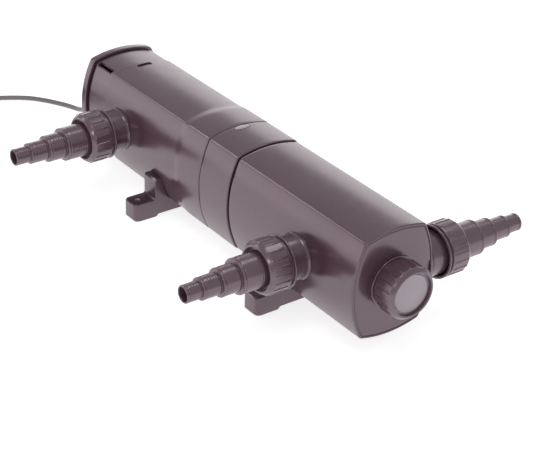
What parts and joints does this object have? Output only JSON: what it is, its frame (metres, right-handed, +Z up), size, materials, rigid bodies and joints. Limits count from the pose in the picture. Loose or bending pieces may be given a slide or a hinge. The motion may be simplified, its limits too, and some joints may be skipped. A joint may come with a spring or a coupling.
{
  "type": "pond uv clarifier",
  "caption": "Long horizontal plastic water housing with an ultraviolet lamp in a quartz sleeve, stepped hose tails on union nuts, a blanked end port, cradle feet and a mains cord.",
  "frame": {"origin": "centre of the base without the cord: midway along the length from the cord gland's end to the end nut's face, midway between the hose tails' ends, on the floor", "axes": "+X along the housing from the cord end towards the blanked end port, +Y towards the side with one hose tail, +Z up"},
  "size_m": [0.8524, 0.4885, 0.143],
  "materials": {
    "housing": "glossy, dark warm grey-purple moulded plastic",
    "fitting": "glossy, dark warm grey-purple moulded plastic",
    "blank": "satin, light grey-lilac moulded plastic",
    "lens": "clear to milky",
    "seal": "matt",
    "quartz": "clear",
    "lamp_glass": "clear glass tube",
    "white_plastic": "matt",
    "electronics": "potted block, matt",
    "cord": "satin cable sheath",
    "cord_rubber": "matt",
    "lead": "insulated wire",
    "steel": "stainless"
  },
  "bodies": {
    "rear_body": {"rear_housing": "housing", "main_o_ring": "seal", "ballast_housing": "housing", "rear_cover": "housing", "cover_gasket": "seal", "cover_screw_1": "steel", "cover_screw_2": "steel", "cover_screw_3": "steel", "cover_screw_4": "steel", "rear_foot": "housing", "rear_left_gasket": "seal", "quartz_sleeve": "quartz", "sleeve_o_ring": "seal", "sleeve_nut": "fitting", "uv_lamp": "lamp_glass", "lamp_base": "white_plastic", "lamp_socket": "white_plastic", "ballast_unit": "electronics", "terminal_block": "white_plastic", "lamp_lead_1": "lead", "lamp_lead_2": "lead", "ballast_lead_1": "lead", "ballast_lead_2": "lead", "gland_body": "fitting", "gland_nut": "fitting", "gland_locknut": "fitting", "mains_tail": "cord", "strain_relief": "cord_rubber", "cord_run": "cord", "cord_coil": "cord", "cord_tail": "cord", "mains_plug": "cord"},
    "ring": {"coupling_ring": "housing", "sight_lens": "lens"},
    "front_body": {"front_housing": "housing", "front_foot": "housing", "sleeve_guide": "white_plastic", "front_left_gasket": "seal", "front_right_gasket": "seal", "end_gasket": "seal"},
    "rear_left_tail": {"rear_left_hose_tail": "fitting"},
    "rear_left_nut": {"rear_left_union_nut": "fitting"},
    "front_left_tail": {"front_left_hose_tail": "fitting"},
    "front_left_nut": {"front_left_union_nut": "fitting"},
    "front_right_tail": {"front_right_hose_tail": "fitting"},
    "front_right_nut": {"front_right_union_nut": "fitting"},
    "end_disc": {"end_blanking_disc": "blank"},
    "end_nut": {"end_union_nut": "fitting"}
  },
  "joints": [
    {"name": "ring_twist", "type": "hinge", "parent": "rear_body", "child": "ring", "pos_m": [0, 0, 0.0775], "axis": [1, 0, 0], "range_deg": [0, 20]},
    {"name": "front_pull", "type": "slide", "parent": "rear_body", "child": "front_body", "axis": [1, 0, 0], "range_m": [0, 0.24]},
    {"name": "rear_left_tail_slide", "type": "slide", "parent": "rear_body", "child": "rear_left_tail", "axis": [0, -1, 0], "range_m": [0, 0.0141]},
    {"name": "rear_left_nut_turn", "type": "hinge", "parent": "rear_left_tail", "child": "rear_left_nut", "pos_m": [-0.1912, -0.074, 0.0775], "axis": [0, -1, 0], "range_deg": [0, 1260]},
    {"name": "front_left_tail_slide", "type": "slide", "parent": "front_body", "child": "front_left_tail", "axis": [0, -1, 0], "range_m": [0, 0.0141]},
    {"name": "front_left_nut_turn", "type": "hinge", "parent": "front_left_tail", "child": "front_left_nut", "pos_m": [0.1705, -0.074, 0.0775], "axis": [0, -1, 0], "range_deg": [0, 1260]},
    {"name": "front_right_tail_slide", "type": "slide", "parent": "front_body", "child": "front_right_tail", "axis": [0, 1, 0], "range_m": [0, 0.0141]},
    {"name": "front_right_nut_turn", "type": "hinge", "parent": "front_right_tail", "child": "front_right_nut", "pos_m": [0.243, 0.074, 0.0775], "axis": [0, 1, 0], "range_deg": [0, 1260]},
    {"name": "end_disc_slide", "type": "slide", "parent": "front_body", "child": "end_disc", "axis": [1, 0, 0], "range_m": [0, 0.0141]},
    {"name": "end_nut_turn", "type": "hinge", "parent": "end_disc", "child": "end_nut", "pos_m": [0.268, 0, 0.0775], "axis": [1, 0, 0], "range_deg": [0, 1260]}
  ],
  "couplings": [
    {"joint": "rear_left_tail_slide", "follows": "rear_left_nut_turn", "m_per_rad": 0.00063662},
    {"joint": "front_left_tail_slide", "follows": "front_left_nut_turn", "m_per_rad": 0.00063662},
    {"joint": "front_right_tail_slide", "follows": "front_right_nut_turn", "m_per_rad": 0.00063662},
    {"joint": "end_disc_slide", "follows": "end_nut_turn", "m_per_rad": 0.00063662}
  ]
}
